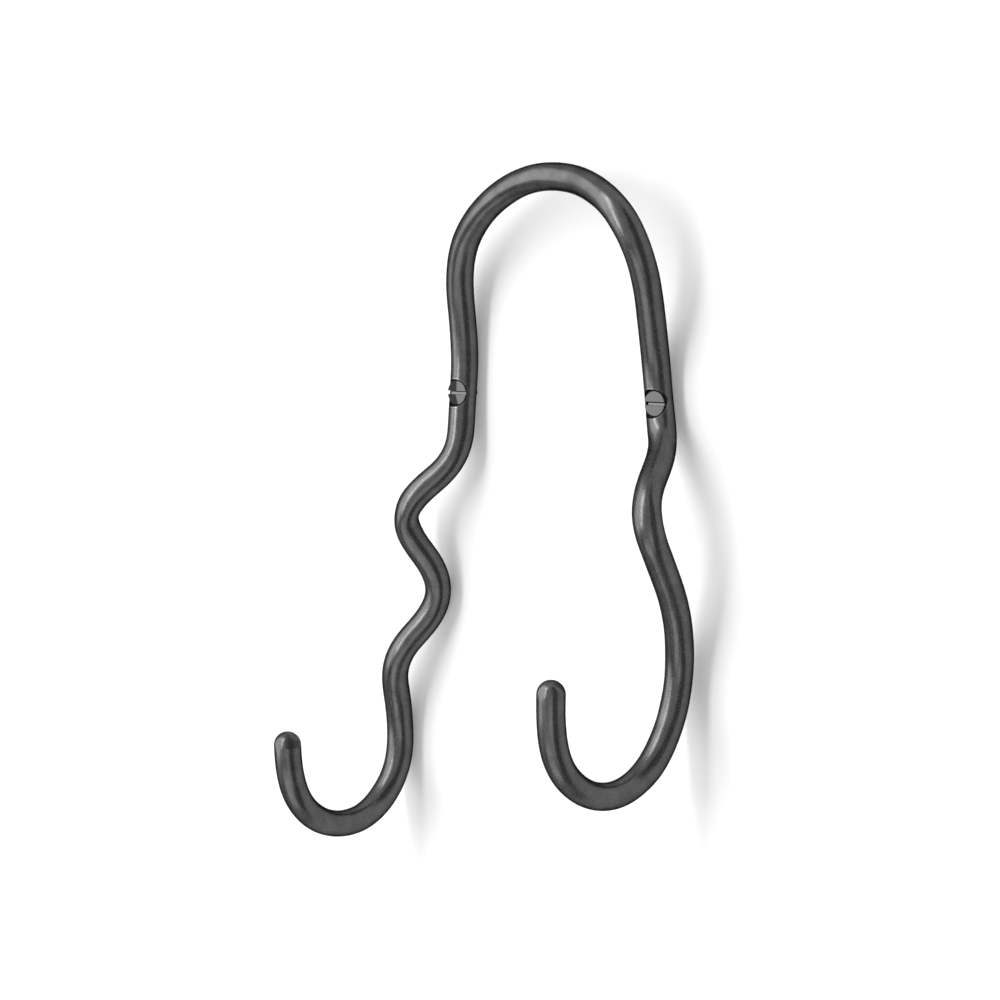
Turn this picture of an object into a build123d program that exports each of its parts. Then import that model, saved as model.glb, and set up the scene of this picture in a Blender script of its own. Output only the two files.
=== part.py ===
from build123d import *
import os
from math import radians, tan

# Double wall hook: one round bar, bent by hand into an arch with two wavy legs that
# curl forward into hooks, held on the wall by two slotted countersunk screws.
#
# Frame, in millimetres: the wall's face is the plane Y = 0 and the hook stands in
# front of it, at negative Y. +X is to the right and +Z is up. The origin lies on the
# wall's face, midway between the two screw axes.

# ------------------------------------------------------------- driving dimensions: bar
ROD_D = 8.0              # diameter of the bar
WALL_GAP = 0.5           # air behind the bar where the screws hold it
SCREW_SPACING = 73.0     # between the two screw axes
LEG_TOP = 12.5           # upper end of the left leg's straight stretch
CROWN_RISE = 50.0        # top of the arch above LEG_TOP
LEFT_WAVE_DROP = 79.5    # lowest wave of the left leg below the screws
RIGHT_WAVE_DROP = 55.5   # lowest wave of the right leg below the screws
LEFT_BOWL_DROP = 48.0    # bottom of the left bowl below the lowest wave of its leg
RIGHT_BOWL_DROP = 51.5   # bottom of the right bowl below the lowest wave of its leg
LEFT_REACH = 43.5        # left lip in front of its leg, centre to centre
RIGHT_REACH = 46.5       # right lip in front of its leg, centre to centre
LEFT_LIP_RISE = 26.0     # end of the left lip above the bottom of its bowl
RIGHT_LIP_RISE = 31.0    # end of the right lip above the bottom of its bowl
BEND_FILL = 0.45         # share of the shorter run that each bend takes up

# ----------------------------------------------------------- driving dimensions: bends
# The bar is bent freehand, so its centre line is a row of corners, each rounded as far
# as its two runs allow. A corner is three lengths: across from the screw axis of its
# side, the air between the bar's back and the wall, and the height above the level that
# its list names.
LEFT_HOOK = (            # from the bottom of the left bowl
    (-29.5, LEFT_REACH, LEFT_LIP_RISE),
    (-29.0, LEFT_REACH, 12.0),
    (-28.0, LEFT_REACH - 12.5, 0.5),
    (-26.5, 13.5, 0.0),
    (-25.5, 0.5, 13.0),
    (-25.5, 0.0, 30.5),
)
LEFT_LEG = (             # from the screws
    (-21.5, 8.0, -LEFT_WAVE_DROP),
    (-11.0, 0.0, -65.5),
    (-8.5, 1.0, -54.0),
    (-15.0, 9.5, -40.5),
    (-13.0, 10.5, -32.0),
    (0.5, WALL_GAP + 2.0, -19.5),
    (0.5, WALL_GAP - 1.0, LEG_TOP),
)
LEFT_ARCH = (            # from the top of the arch
    (1.5, 5.0, -24.5),
    (15.0, 9.5, -9.5),
    (33.0, 10.5, 0.0),
)
RIGHT_ARCH = (           # from the top of the arch
    (-22.5, 11.0, 0.0),
    (-6.5, 15.5, -6.0),
    (1.5, 16.0, -14.5),
    (3.5, 11.0, -27.0),
)
RIGHT_LEG = (            # from the screws
    (-1.0, WALL_GAP + 1.5, LEG_TOP + 4.0),
    (-1.0, WALL_GAP - 0.5, 1.5),
    (4.0, WALL_GAP + 2.5, -12.0),
    (9.5, 19.0, -25.0),
    (12.0, 20.0, -33.5),
    (12.0, 15.5, -41.5),
    (11.5, 7.0, -RIGHT_WAVE_DROP),
)
RIGHT_HOOK = (           # from the bottom of the right bowl
    (8.0, 1.0, 34.5),
    (7.5, 4.5, 18.0),
    (6.0, 13.5, 5.0),
    (3.5, RIGHT_REACH - 20.0, 0.0),
    (0.5, RIGHT_REACH - 8.0, 4.0),
    (-1.0, RIGHT_REACH, 16.5),
    (-1.0, RIGHT_REACH, RIGHT_LIP_RISE),
)

# ---------------------------------------------------------- driving dimensions: screws
SCREW_LENGTH = 35.0      # head face to point
HEAD_D = 7.0             # countersunk head
HEAD_RIM = 0.35          # cylindrical edge under the head's face
HEAD_SINK = 1.4          # head face below the front of the bar
NECK_D = 2.6             # plain neck between head and thread
THREAD_D = 3.5           # over the thread's crests
POINT_LENGTH = 5.0       # tapered point
POINT_TIP_D = 0.4        # blunt end of the point
SLOT_WIDTH = 1.05        # screwdriver slot
SLOT_DEPTH = 1.0
HOLE_CLEARANCE = 0.25    # between the thread's crests and the hole, on the radius
SEAT_CLEARANCE = 0.05    # between the head's cone and the countersink, along the axis
RIM_CLEARANCE = 0.2      # between the head's edge and the sunk hole, on the radius

# ------------------------------------------------------------------ derived dimensions
ROD_R = ROD_D / 2
LEFT_X = -SCREW_SPACING / 2
RIGHT_X = SCREW_SPACING / 2
CROWN_Z = LEG_TOP + CROWN_RISE
LEFT_BOWL_Z = -(LEFT_WAVE_DROP + LEFT_BOWL_DROP)
RIGHT_BOWL_Z = -(RIGHT_WAVE_DROP + RIGHT_BOWL_DROP)
FRONT_Y = -(WALL_GAP + ROD_D)          # front of the bar at the screws
FACE_Y = FRONT_Y + HEAD_SINK           # face of the screw heads
HEAD_APEX_Y = FACE_Y + HEAD_RIM + HEAD_D / 2   # where the head's cone would end in a point


def corners_of(bends, screw_x, level):
    """The corners of one list of bends, placed beside its screw and above its level."""
    return [
        Vector(screw_x + across, -(gap + ROD_R), level + height)
        for across, gap, height in bends
    ]


def centre_line():
    """The corners of the bar's centre line, from the left lip to the right lip."""
    return (
        corners_of(LEFT_HOOK, LEFT_X, LEFT_BOWL_Z)
        + corners_of(LEFT_LEG, LEFT_X, 0)
        + corners_of(LEFT_ARCH, LEFT_X, CROWN_Z)
        + corners_of(RIGHT_ARCH, RIGHT_X, CROWN_Z)
        + corners_of(RIGHT_LEG, RIGHT_X, 0)
        + corners_of(RIGHT_HOOK, RIGHT_X, RIGHT_BOWL_Z)
    )


def bend_radii(corners):
    """The largest bend radius that each corner's two runs leave room for."""
    radii = []
    for before, here, after in zip(corners, corners[1:], corners[2:]):
        run_in, run_out = here - before, after - here
        turn = run_in.get_angle(run_out)
        shorter = min(run_in.length, run_out.length)
        radii.append(BEND_FILL * shorter / tan(radians(turn / 2)))
    return radii


def bent_bar():
    """The bar's centre line, and the bar with its two domed ends before any hole."""
    corners = centre_line()
    path = FilletPolyline(*corners, radius=bend_radii(corners))
    start = Plane(origin=path @ 0, z_dir=path % 0)
    bar = sweep(start * Circle(ROD_R), path=path)
    for end in (path @ 0, path @ 1):
        bar += Pos(*end) * Sphere(ROD_R)
    return path, bar


def turned(outline, x):
    """A solid turned about the screw axis at x.

    outline is a list of (radius, Y) points whose first and last lie on the axis.
    """
    return Pos(x, 0, 0) * revolve(make_face(Polyline(*outline, close=True)), axis=Axis.Y)


def screw_hole(x):
    """The tool that cuts one screw's sunk entry, countersink and clearance hole."""
    hole_r = THREAD_D / 2 + HOLE_CLEARANCE
    entry_r = HEAD_D / 2 + RIM_CLEARANCE
    seat_apex_y = HEAD_APEX_Y + SEAT_CLEARANCE
    outline = [
        (0, FRONT_Y - ROD_R),
        (entry_r, FRONT_Y - ROD_R),
        (entry_r, seat_apex_y - entry_r),
        (hole_r, seat_apex_y - hole_r),
        (hole_r, ROD_R),
        (0, ROD_R),
    ]
    return turned(outline, x)


def screw(x):
    """A slotted countersunk screw; its thread is an envelope over the crests."""
    head_r, neck_r, thread_r = HEAD_D / 2, NECK_D / 2, THREAD_D / 2
    end_y = FACE_Y + SCREW_LENGTH
    outline = [
        (0, FACE_Y),
        (head_r, FACE_Y),
        (head_r, HEAD_APEX_Y - head_r),
        (neck_r, HEAD_APEX_Y - neck_r),
        (neck_r, 0),
        (thread_r, 0),
        (thread_r, end_y - POINT_LENGTH),
        (POINT_TIP_D / 2, end_y),
        (0, end_y),
    ]
    slot = Pos(x, FACE_Y + SLOT_DEPTH / 2, 0) * Box(2 * HEAD_D, SLOT_DEPTH, SLOT_WIDTH)
    return turned(outline, x) - slot


def main():
    """Build every piece and write one STEP file for each."""
    path, bar = bent_bar()
    for x in (LEFT_X, RIGHT_X):
        bar -= screw_hole(x)
    pieces = {"hook_rod": bar, "left_screw": screw(LEFT_X), "right_screw": screw(RIGHT_X)}
    os.makedirs("parts", exist_ok=True)
    for name, piece in pieces.items():
        export_step(piece, f"parts/{name}.step")
        print(name, "volume", round(piece.volume, 1), "mm3")
    print("centre line", round(path.length, 1), "mm, bend radii",
          [round(r, 1) for r in bend_radii(centre_line())])


main()
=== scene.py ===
"""Double wall hook of blackened steel bar, held by two slotted wood screws.

The solids come packed as a fixed frame, in metres: the wall's face is the plane Y = 0, the hook
stands in front of it at negative Y, +X is to the right and +Z is up. The origin lies on the wall's
face, midway between the two screws. The bar and the screws are made again here in more detail, in
the same place, and stand for the solids of the frame.
"""

import logging
import math
from dataclasses import dataclass
from enum import Enum
from typing import Any

import bpy
import numpy as np
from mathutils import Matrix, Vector

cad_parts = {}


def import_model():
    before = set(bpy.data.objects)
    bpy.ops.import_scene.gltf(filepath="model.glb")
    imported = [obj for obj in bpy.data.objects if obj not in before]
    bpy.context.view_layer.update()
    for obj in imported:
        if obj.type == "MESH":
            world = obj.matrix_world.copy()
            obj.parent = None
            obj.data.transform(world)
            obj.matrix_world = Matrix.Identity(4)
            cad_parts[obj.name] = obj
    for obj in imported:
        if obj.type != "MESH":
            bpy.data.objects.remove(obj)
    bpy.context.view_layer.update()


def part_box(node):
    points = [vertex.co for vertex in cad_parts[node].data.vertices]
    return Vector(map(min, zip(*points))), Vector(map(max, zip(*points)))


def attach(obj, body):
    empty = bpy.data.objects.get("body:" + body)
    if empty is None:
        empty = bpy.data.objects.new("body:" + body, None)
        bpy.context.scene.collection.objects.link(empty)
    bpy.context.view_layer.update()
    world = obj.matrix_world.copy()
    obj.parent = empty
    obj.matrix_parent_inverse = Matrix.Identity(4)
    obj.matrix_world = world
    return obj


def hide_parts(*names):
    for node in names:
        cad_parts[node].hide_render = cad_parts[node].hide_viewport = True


LOG = logging.getLogger("wall_hook")
MM = 0.001
WHITE = (1.0, 1.0, 1.0, 1.0)
# The span that holds most values of a noise.
NOISE_SPAN = (0.3, 0.7)

Array = np.ndarray
Pair = tuple[float, float]
Point = tuple[float, float, float]
Tree = bpy.types.NodeTree
Socket = bpy.types.NodeSocket
Material = bpy.types.Material
Piece = bpy.types.Object


class Side(Enum):
    """The two legs of the hook, each with its own screw."""

    LEFT = "left"
    RIGHT = "right"


# The part of a turn at which each screw came to its stop.
THREAD_PHASE = {Side.LEFT: 0.48, Side.RIGHT: 0.98}
# How far above the middle of each slot its painted shadow begins.
SLOT_PAINTED_SHADOW_FROM = {Side.LEFT: 0.17 * MM, Side.RIGHT: 0.1 * MM}


# ------------------------------------------------------------------------------ colours and nodes


def linear(code: str) -> tuple[float, float, float, float]:
    """Turn an sRGB hex colour into linear light.

    Args:
        code: The colour as "#rrggbb".

    Returns:
        Linear red, green and blue, and an alpha of 1.
    """
    channels = (int(code[i : i + 2], 16) / 255 for i in (1, 3, 5))
    red, green, blue = (
        c / 12.92 if c <= 0.04045 else ((c + 0.055) / 1.055) ** 2.4 for c in channels
    )
    return red, green, blue, 1.0


def add_node(
    tree: Tree,
    kind: str,
    settings: dict[str, Any] | None = None,
    inputs: dict[Any, Any] | None = None,
) -> bpy.types.Node:
    """Add one node with its settings, values and links.

    Args:
        tree: The node tree that gets the node.
        kind: Blender's name for the node type.
        settings: Properties of the node, by name.
        inputs: Sockets by name or number, each with a value or with the socket that feeds it.

    Returns:
        The new node.
    """
    node = tree.nodes.new(kind)
    for name, value in (settings or {}).items():
        setattr(node, name, value)
    for key, value in (inputs or {}).items():
        if isinstance(value, Socket):
            tree.links.new(value, node.inputs[key])
        else:
            node.inputs[key].default_value = value
    return node


def new_material(name: str) -> tuple[Material, Tree]:
    """Make an empty node material.

    Args:
        name: The material's name.

    Returns:
        The material and its empty node tree.
    """
    material = bpy.data.materials.new(name)
    material.use_nodes = True
    material.node_tree.nodes.clear()
    return material, material.node_tree


# ---------------------------------------------------------------------------------------- finishes


def noise_of(
    place: Socket, size_mm: float, detail: float, roughness: float = 0.5
) -> dict[str, Any]:
    """Inputs of a noise on coordinates in metres, whose spots are about size_mm across."""
    return {"Vector": place, "Scale": 1 / (size_mm * MM), "Detail": detail, "Roughness": roughness}


def spans(start: Pair, end: Pair = (0.0, 1.0)) -> dict[str, float]:
    """Inputs of a node that maps one span of values to another."""
    return dict(zip(("From Min", "From Max", "To Min", "To Max"), (*start, *end)))


def seen_directly(tree: Tree) -> Socket:
    """Tell what is looked at from what only gives light.

    Args:
        tree: The node tree of a material or of the world.

    Returns:
        1 for what the eye sees, also through glass or in metal, and 0 for plain light.
    """
    path = add_node(tree, "ShaderNodeLightPath")
    seen = path.outputs["Is Camera Ray"]
    for ray in ("Is Glossy Ray", "Is Transmission Ray"):
        seen = add_node(
            tree, "ShaderNodeMath", {"operation": "MAXIMUM"}, {0: seen, 1: path.outputs[ray]}
        ).outputs[0]
    return seen


def metal_surface(tree: Tree, inputs: dict[str, Any]) -> None:
    """Give a material its metal surface.

    Args:
        tree: The material's node tree.
        inputs: Sockets of the surface by name, each with a value or with the socket that feeds it.
    """
    shader = add_node(tree, "ShaderNodeBsdfPrincipled", inputs={"Metallic": 1.0, **inputs})
    add_node(tree, "ShaderNodeOutputMaterial", inputs={"Surface": shader.outputs["BSDF"]})


@dataclass(frozen=True)
class SunkSeat:
    """The mouth of a sunk screw hole: a rounded oval, a little longer along the bar than across.

    A point is on its edge where (|x| / across)^n + (|z| / along)^n is 1, and the n-th root of that
    sum is the point's reach, under 1 inside the mouth and over 1 outside it.
    """

    across: float = 3.6 * MM
    along: float = 4.0 * MM
    power: float = 2.6

    def radius(self, angle: Array) -> Array:
        """Distance from the axis to the edge at each angle."""
        return self.reach(np.cos(angle), np.sin(angle)) ** -1

    def reach(self, x: Array, z: Array) -> Array:
        """The reach of points given from the screw's axis."""
        sides = (np.abs(x) / self.across) ** self.power + (np.abs(z) / self.along) ** self.power
        return sides ** (1 / self.power)

    def reach_nodes(self, tree: Tree, place: Socket, x: float) -> Socket:
        """The same reach, worked out by a material's nodes.

        Args:
            tree: The material's node tree.
            place: The place on the surface.
            x: Where the screw's axis stands along X.

        Returns:
            The reach of each place.
        """
        centred = add_node(
            tree,
            "ShaderNodeMapping",
            inputs={
                "Vector": place,
                "Location": (-x / self.across, 0.0, 0.0),
                "Scale": (1 / self.across, 0.0, 1 / self.along),
            },
        ).outputs["Vector"]
        size = add_node(
            tree, "ShaderNodeVectorMath", {"operation": "ABSOLUTE"}, {0: centred}
        ).outputs["Vector"]
        axes = add_node(tree, "ShaderNodeSeparateXYZ", inputs={0: size})
        powers = [
            add_node(
                tree, "ShaderNodeMath", {"operation": "POWER"}, {0: axis, 1: self.power}
            ).outputs[0]
            for axis in (axes.outputs["X"], axes.outputs["Z"])
        ]
        total = add_node(
            tree, "ShaderNodeMath", {"operation": "ADD"}, {0: powers[0], 1: powers[1]}
        ).outputs[0]
        return add_node(
            tree, "ShaderNodeMath", {"operation": "POWER"}, {0: total, 1: 1 / self.power}
        ).outputs[0]


@dataclass(frozen=True)
class BlackenedSteel:
    """Mild steel bar, drawn round, bent by hand and chemically blackened, then waxed.

    The oxide is a thin dark skin over metal, so it shines like a dark metal: soft bands of light
    with a fine grain, a little cloudy where the blackening took unevenly, and faint lines along
    the bar from drawing. The black is worn thin around the two countersinks, and the lighter line
    there is also a painted highlight of the seat's rim.
    """

    name: str = "blackened_steel_bar"
    colour_dark: str = "#4a4a4a"
    colour_light: str = "#5a5a5a"
    # Lighter colour of the seats' rims: worn black and a painted highlight.
    colour_worn_and_highlit: str = "#7c7c7c"
    edge: str = "#868686"
    roughness: Pair = (0.2, 0.32)
    cloud_mm: float = 5.0
    # The grain and the drawn lines are finer on a real bar. These are as coarse as they need to
    # be to show.
    grain_mm: float = 0.4
    line_mm: float = 0.5
    line_length_mm: float = 18.0
    line_height_mm: float = 0.018
    grain_height_mm: float = 0.016
    # The grain's share of the mottled tone, and the lines' share of the gloss.
    grain_share: float = 0.35
    line_share: float = 0.3
    tone_span: Pair = (0.36, 0.64)
    # The worn line, which is also a painted highlight of the seat's rim: its reach from the screw,
    # half its width, and the clouds that let it show.
    rim_reach: float = 1.05
    rim_width: float = 0.022
    rim_span: Pair = (0.35, 0.6)

    def material(self, screw_x: dict[Side, float]) -> Material:
        """Build the finish.

        Args:
            screw_x: Where each screw's axis stands along X, in metres.

        Returns:
            The material.
        """
        material, tree = new_material(self.name)
        place = add_node(tree, "ShaderNodeTexCoord").outputs["Object"]
        straight = add_node(
            tree, "ShaderNodeAttribute", {"attribute_name": BentBar.STRAIGHT}
        ).outputs["Vector"]
        stretched = add_node(
            tree,
            "ShaderNodeMapping",
            inputs={"Vector": straight, "Scale": (self.line_mm / self.line_length_mm, 1.0, 1.0)},
        ).outputs["Vector"]
        cloud, grain, lines = (
            add_node(tree, "ShaderNodeTexNoise", inputs=pattern).outputs["Fac"]
            for pattern in (
                noise_of(place, self.cloud_mm, 4.0, 0.6),
                noise_of(place, self.grain_mm, 3.0, 0.65),
                noise_of(stretched, self.line_mm, 2.0),
            )
        )
        mottle, relief = (
            add_node(
                tree, "ShaderNodeMix", {"data_type": "FLOAT"}, {"Factor": share, "A": a, "B": b}
            ).outputs["Result"]
            for share, a, b in (
                (self.grain_share, cloud, grain),
                (self.line_share, grain, lines),
            )
        )
        tone = add_node(
            tree, "ShaderNodeMapRange", inputs={"Value": mottle, **spans(self.tone_span)}
        ).outputs["Result"]
        black = add_node(
            tree,
            "ShaderNodeMix",
            {"data_type": "RGBA"},
            {"Factor": tone, "A": linear(self.colour_dark), "B": linear(self.colour_light)},
        ).outputs[2]
        # Lighter line along each seat: wear, and a painted highlight of the rim's edge.
        worn = self._worn_and_highlit_rims(tree, place, cloud, screw_x)
        colour = add_node(
            tree,
            "ShaderNodeMix",
            {"data_type": "RGBA"},
            {"Factor": worn, "A": black, "B": linear(self.colour_worn_and_highlit)},
        ).outputs[2]
        rough = add_node(
            tree,
            "ShaderNodeMapRange",
            inputs={"Value": relief, **spans(NOISE_SPAN, self.roughness)},
        ).outputs["Result"]
        drawn = add_node(
            tree, "ShaderNodeBump", inputs={"Height": lines, "Distance": self.line_height_mm * MM}
        ).outputs["Normal"]
        bump = add_node(
            tree,
            "ShaderNodeBump",
            inputs={"Height": grain, "Distance": self.grain_height_mm * MM, "Normal": drawn},
        ).outputs["Normal"]
        metal_surface(
            tree,
            {
                "Base Color": colour,
                "Roughness": rough,
                "Specular Tint": linear(self.edge),
                "Normal": bump,
            },
        )
        return material

    def _worn_and_highlit_rims(
        self, tree: Tree, place: Socket, cloud: Socket, screw_x: dict[Side, float]
    ) -> Socket:
        """A thin lighter line around each seat: worn black, and a painted highlight of the seat's
        rim.

        The line's width is multiplied by how far the surface faces the screw, so that it stays as
        thin on the bar's steep sides, and the clouds of the black break it up.

        Args:
            tree: The material's node tree.
            place: The place on the surface.
            cloud: The clouds of the black.
            screw_x: Where each screw's axis stands along X.

        Returns:
            Up to 1 on a line and 0 away from it.
        """
        way = add_node(tree, "ShaderNodeTexCoord").outputs["Normal"]
        facing = add_node(tree, "ShaderNodeSeparateXYZ", inputs={0: way}).outputs["Y"]
        width = add_node(
            tree, "ShaderNodeMath", {"operation": "MULTIPLY"}, {0: facing, 1: -self.rim_width}
        ).outputs[0]
        lines = [
            add_node(
                tree,
                "ShaderNodeMath",
                {"operation": "COMPARE"},
                {0: SunkSeat().reach_nodes(tree, place, x), 1: self.rim_reach, 2: width},
            ).outputs[0]
            for x in screw_x.values()
        ]
        both = add_node(
            tree, "ShaderNodeMath", {"operation": "ADD"}, {0: lines[0], 1: lines[1]}
        ).outputs[0]
        rubbed = add_node(
            tree, "ShaderNodeMapRange", inputs={"Value": cloud, **spans(self.rim_span)}
        ).outputs["Result"]
        return add_node(
            tree, "ShaderNodeMath", {"operation": "MULTIPLY"}, {0: both, 1: rubbed}
        ).outputs[0]


@dataclass(frozen=True)
class TurnedScrewSteel:
    """Turned carbon steel, blackened in oil, as on the heads and shanks of slotted wood screws.

    The turned face is flat and fine, so it shows a clear, grey reflection with faint rings. On one
    side of the head a dark reflection is painted into the colour, beside the lit one.
    """

    name: str = "turned_blackened_screw_steel"
    colour: str = "#4c4c4c"
    # Colour of the painted dark reflection on the left part of one head.
    colour_painted_dark_reflection: str = "#1f1f1f"
    roughness: Pair = (0.18, 0.26)
    ring_mm: float = 0.16
    ring_height_mm: float = 0.002
    grain_mm: float = 0.3
    border_start_mm: float = 0.55
    border_lean: float = 0.33
    border_blur_mm: float = 0.2

    def material(self, side: Side, axis_x: float, painted_dark_reflection: bool) -> Material:
        """Build the finish for one screw.

        Args:
            side: Which screw it is, for the material's name.
            axis_x: Where the screw's axis stands along X, in metres.
            painted_dark_reflection: Whether the left part of the head gets a painted dark
                reflection.

        Returns:
            The material.
        """
        material, tree = new_material(f"{self.name}_{side.value}")
        place = add_node(tree, "ShaderNodeTexCoord").outputs["Object"]
        centred = add_node(
            tree, "ShaderNodeMapping", inputs={"Vector": place, "Location": (-axis_x, 0.0, 0.0)}
        ).outputs["Vector"]
        flat = add_node(
            tree, "ShaderNodeMapping", inputs={"Vector": centred, "Scale": (1.0, 0.0, 1.0)}
        ).outputs["Vector"]
        radius = add_node(
            tree, "ShaderNodeVectorMath", {"operation": "LENGTH"}, {0: flat}
        ).outputs["Value"]
        rings = add_node(
            tree,
            "ShaderNodeTexNoise",
            {"noise_dimensions": "1D"},
            {"W": radius, "Scale": 1 / (self.ring_mm * MM), "Detail": 2.0},
        ).outputs["Fac"]
        grain = add_node(
            tree, "ShaderNodeTexNoise", inputs=noise_of(place, self.grain_mm, 3.0)
        ).outputs["Fac"]
        rough = add_node(
            tree, "ShaderNodeMapRange", inputs={"Value": grain, **spans(NOISE_SPAN, self.roughness)}
        ).outputs["Result"]
        bump = add_node(
            tree, "ShaderNodeBump", inputs={"Height": rings, "Distance": self.ring_height_mm * MM}
        ).outputs["Normal"]
        # The left part of the left head is painted near-black: a painted dark reflection.
        colour = self._painted_reflection_split(tree, centred) if painted_dark_reflection else linear(self.colour)
        metal_surface(tree, {"Base Color": colour, "Roughness": rough, "Normal": bump})
        return material

    def _painted_reflection_split(self, tree: Tree, centred: Socket) -> Socket:
        """Colour of a head with a painted dark reflection left of a border.

        The border is upright above the slot. Below it, it starts a little further left and leans
        to the right, as a slope times the depth below the slot.

        Args:
            tree: The material's node tree.
            centred: The place on the surface, from the screw's axis.

        Returns:
            The colour.
        """
        axes = add_node(tree, "ShaderNodeSeparateXYZ", inputs={0: centred})
        below = add_node(
            tree, "ShaderNodeMath", {"operation": "LESS_THAN"}, {0: axes.outputs["Z"], 1: 0.0}
        ).outputs[0]
        lean = add_node(
            tree,
            "ShaderNodeMath",
            {"operation": "MULTIPLY_ADD"},
            {0: axes.outputs["Z"], 1: -self.border_lean, 2: -self.border_start_mm * MM},
        ).outputs[0]
        border = add_node(
            tree, "ShaderNodeMath", {"operation": "MULTIPLY"}, {0: below, 1: lean}
        ).outputs[0]
        ahead = add_node(
            tree, "ShaderNodeMath", {"operation": "SUBTRACT"}, {0: axes.outputs["X"], 1: border}
        ).outputs[0]
        blur = self.border_blur_mm * MM
        lit_reflection = add_node(
            tree, "ShaderNodeMapRange", inputs={"Value": ahead, **spans((-blur, blur))}
        ).outputs["Result"]
        return add_node(
            tree,
            "ShaderNodeMix",
            {"data_type": "RGBA"},
            {"Factor": lit_reflection, "A": linear(self.colour_painted_dark_reflection), "B": linear(self.colour)},
        ).outputs[2]


@dataclass(frozen=True)
class DullOxideAndPaintedShade:
    """Steel with its thick, dull black oxide left on, as in a drilled hole or on a rolled thread.

    No light polishes it there, so it stays near black with a wide, weak sheen. That near-black, in
    the screw holes and on the screws' rims, cones and shanks, is also painted shade of the gap
    between head and hole.
    """

    name: str
    # Near-black: oxide, and painted shade of the gap between a screw head and its hole.
    colour: str = "#202020"
    roughness: Pair = (0.42, 0.58)
    grain_mm: float = 0.3
    grain_height_mm: float = 0.01

    def material(self) -> Material:
        """Build the finish, with the oxide's fine grain in its gloss and relief.

        Returns:
            The material.
        """
        material, tree = new_material(self.name)
        place = add_node(tree, "ShaderNodeTexCoord").outputs["Object"]
        grain = add_node(
            tree, "ShaderNodeTexNoise", inputs=noise_of(place, self.grain_mm, 3.0)
        ).outputs["Fac"]
        rough = add_node(
            tree, "ShaderNodeMapRange", inputs={"Value": grain, **spans((0.0, 1.0), self.roughness)}
        ).outputs["Result"]
        bump = add_node(
            tree, "ShaderNodeBump", inputs={"Height": grain, "Distance": self.grain_height_mm * MM}
        ).outputs["Normal"]
        metal_surface(
            tree, {"Base Color": linear(self.colour), "Roughness": rough, "Normal": bump}
        )
        return material


@dataclass(frozen=True)
class MilledSteel:
    """Bare steel at the bottom of a milled slot: brighter than the blackened face, and rougher.

    Along the slot's upper edge a near-black band is painted in: a painted shadow of that edge. It
    begins at painted_shadow_from above the slot's middle.
    """

    painted_shadow_from: float
    name: str = "milled_slot_steel"
    colour: str = "#6c6c6c"
    # Near-black of the painted shadow under the slot's upper edge.
    colour_painted_shadow: str = "#161616"
    painted_shadow_blur_mm: float = 0.04
    roughness: Pair = (0.38, 0.5)
    mark_mm: float = 0.12
    mark_length_mm: float = 1.5
    mark_height_mm: float = 0.004

    def material(self, side: Side) -> Material:
        """Build the finish for one screw's slot, with fine cutter marks along it.

        Args:
            side: Which screw it is, for the material's name.

        Returns:
            The material.
        """
        material, tree = new_material(f"{self.name}_{side.value}")
        place = add_node(tree, "ShaderNodeTexCoord").outputs["Object"]
        along = add_node(
            tree,
            "ShaderNodeMapping",
            inputs={"Vector": place, "Scale": (self.mark_mm / self.mark_length_mm, 1.0, 1.0)},
        ).outputs["Vector"]
        marks = add_node(
            tree, "ShaderNodeTexNoise", inputs=noise_of(along, self.mark_mm, 2.0)
        ).outputs["Fac"]
        rough = add_node(
            tree, "ShaderNodeMapRange", inputs={"Value": marks, **spans((0.0, 1.0), self.roughness)}
        ).outputs["Result"]
        bump = add_node(
            tree, "ShaderNodeBump", inputs={"Height": marks, "Distance": self.mark_height_mm * MM}
        ).outputs["Normal"]
        # Above painted_shadow_from the slot is painted near-black: a painted shadow of its upper
        # edge.
        height = add_node(tree, "ShaderNodeSeparateXYZ", inputs={0: place}).outputs["Z"]
        blur = self.painted_shadow_blur_mm * MM
        border = (self.painted_shadow_from - blur, self.painted_shadow_from + blur)
        black = add_node(
            tree, "ShaderNodeMapRange", inputs={"Value": height, **spans(border)}
        ).outputs["Result"]
        colour = add_node(
            tree,
            "ShaderNodeMix",
            {"data_type": "RGBA"},
            {"Factor": black, "A": linear(self.colour), "B": linear(self.colour_painted_shadow)},
        ).outputs[2]
        metal_surface(tree, {"Base Color": colour, "Roughness": rough, "Normal": bump})
        return material


@dataclass(frozen=True)
class StudioPaint:
    """Matt white emulsion on the studio's wall.

    It keeps the hook's soft shadow, and is lifted to white for the eye, the metal and glass. Seen
    from its back it isn't there, so the wall doesn't hide the hook from behind.
    """

    name: str = "matt_white_paint"
    colour: str = "#e2e2e2"
    lift: float = 0.22

    def material(self) -> Material:
        """Build the finish.

        Returns:
            The material.
        """
        material, tree = new_material(self.name)
        seen = seen_directly(tree)
        strength = add_node(
            tree, "ShaderNodeMath", {"operation": "MULTIPLY"}, {0: seen, 1: self.lift}
        ).outputs[0]
        matt = add_node(
            tree, "ShaderNodeBsdfDiffuse", inputs={"Color": linear(self.colour)}
        ).outputs[0]
        lift = add_node(
            tree, "ShaderNodeEmission", inputs={"Color": WHITE, "Strength": strength}
        ).outputs[0]
        front = add_node(tree, "ShaderNodeAddShader", inputs={0: matt, 1: lift}).outputs[0]
        clear = add_node(tree, "ShaderNodeBsdfTransparent").outputs[0]
        behind = add_node(tree, "ShaderNodeNewGeometry").outputs["Backfacing"]
        surface = add_node(
            tree, "ShaderNodeMixShader", inputs={0: behind, 1: front, 2: clear}
        ).outputs[0]
        add_node(tree, "ShaderNodeOutputMaterial", inputs={"Surface": surface})
        return material


# ------------------------------------------------------------------------------------ mesh helpers


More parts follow.
